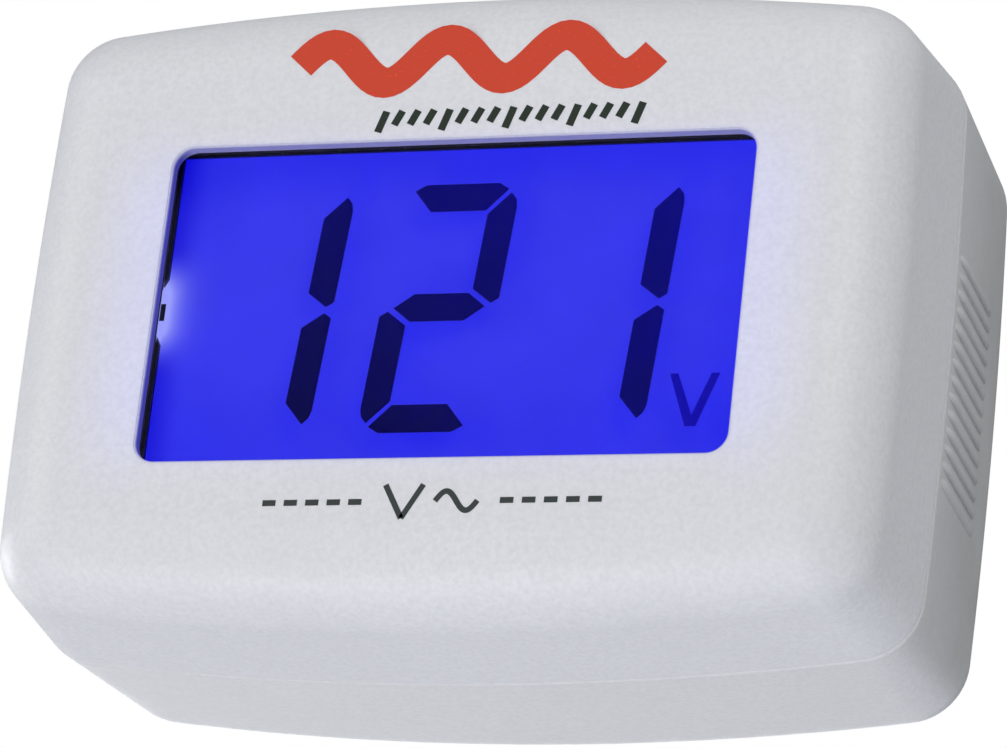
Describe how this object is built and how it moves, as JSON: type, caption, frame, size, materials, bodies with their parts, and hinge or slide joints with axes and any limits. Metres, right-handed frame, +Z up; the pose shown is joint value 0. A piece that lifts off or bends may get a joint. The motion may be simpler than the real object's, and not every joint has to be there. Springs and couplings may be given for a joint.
{
  "type": "outlet tester plug",
  "caption": "Plug-in voltmeter in a bowed two-shell white housing, with a blue backlit segment display in front and two flat plug blades at the back.",
  "frame": {"origin": "centre of the flat rear face, between the two blades, where it meets the outlet", "axes": "+X to the right as seen from the front, +Y out of the rear face into the outlet, +Z up"},
  "size_m": [0.0654, 0.0515, 0.0476],
  "materials": {
    "shell_white": "fine moulded texture, satin",
    "shell_grey": "fine moulded texture, satin",
    "screw_steel": "zinc-plated steel",
    "polariser": "thin polarising film",
    "display_glass": "clear thin glass",
    "glass_seal": "cured glue line",
    "segment_dark": "switched-on liquid crystal, near black blue",
    "segment_faint": "fainter fixed mark",
    "diffuser": "blue-lit diffusing film, emissive",
    "light_guide_clear": "clear acrylic lit blue from one end",
    "led_lens": "clear LED resin",
    "reflector_white": "white reflecting film",
    "holder_black": "black moulded plastic",
    "zebra_rubber": "layered conductive silicone",
    "board_green": "green solder mask on glass-epoxy",
    "solder": "bright solder",
    "chip_black": "black epoxy",
    "film_cap_yellow": "yellow moulded case",
    "electrolytic_sleeve": "shrink sleeve",
    "diode_black": "black epoxy",
    "zener_glass": "small glass body",
    "fuse_green": "lacquered body",
    "resistor_blue": "lacquered body",
    "varistor_blue": "dipped epoxy",
    "trimmer_blue": "moulded plastic",
    "trimmer_cream": "moulded plastic",
    "blade_brass": "stamped brass, lightly brushed",
    "clamp_white": "moulded plastic",
    "wire_black": "PVC sleeve",
    "wire_white": "PVC sleeve"
  },
  "bodies": {
    "meter": {"front_cover": "shell_white", "rear_cover": "shell_grey", "case_screws": "screw_steel", "board_screws": "screw_steel", "clamp_screws": "screw_steel", "lcd_front_polariser": "polariser", "lcd_rear_polariser": "polariser", "lcd_front_glass": "display_glass", "lcd_rear_glass": "display_glass", "lcd_seal": "glass_seal", "lcd_segments": "segment_dark", "lcd_unit_mark": "segment_faint", "diffuser_film": "diffuser", "light_guide": "light_guide_clear", "backlight_led": "led_lens", "reflector_film": "reflector_white", "display_holder": "holder_black", "contact_strips": "zebra_rubber", "circuit_board": "board_green", "solder_joints": "solder", "measuring_chip": "chip_black", "dropper_capacitor": "film_cap_yellow", "smoothing_capacitor": "electrolytic_sleeve", "rectifier_diodes": "diode_black", "zener_diode": "zener_glass", "fuse_resistor": "fuse_green", "divider_resistors": "resistor_blue", "surge_varistor": "varistor_blue", "trimmer_body": "trimmer_blue", "live_blade": "blade_brass", "neutral_blade": "blade_brass", "blade_clamp": "clamp_white", "live_wire": "wire_black", "neutral_wire": "wire_white"},
    "rotor": {"trimmer_rotor": "trimmer_cream"}
  },
  "joints": [
    {"name": "trimmer_turn", "type": "hinge", "parent": "meter", "child": "rotor", "pos_m": [-0.0028, -0.0214, 0.003], "axis": [0, 1, 0], "range_deg": [-105, 105]}
  ]
}
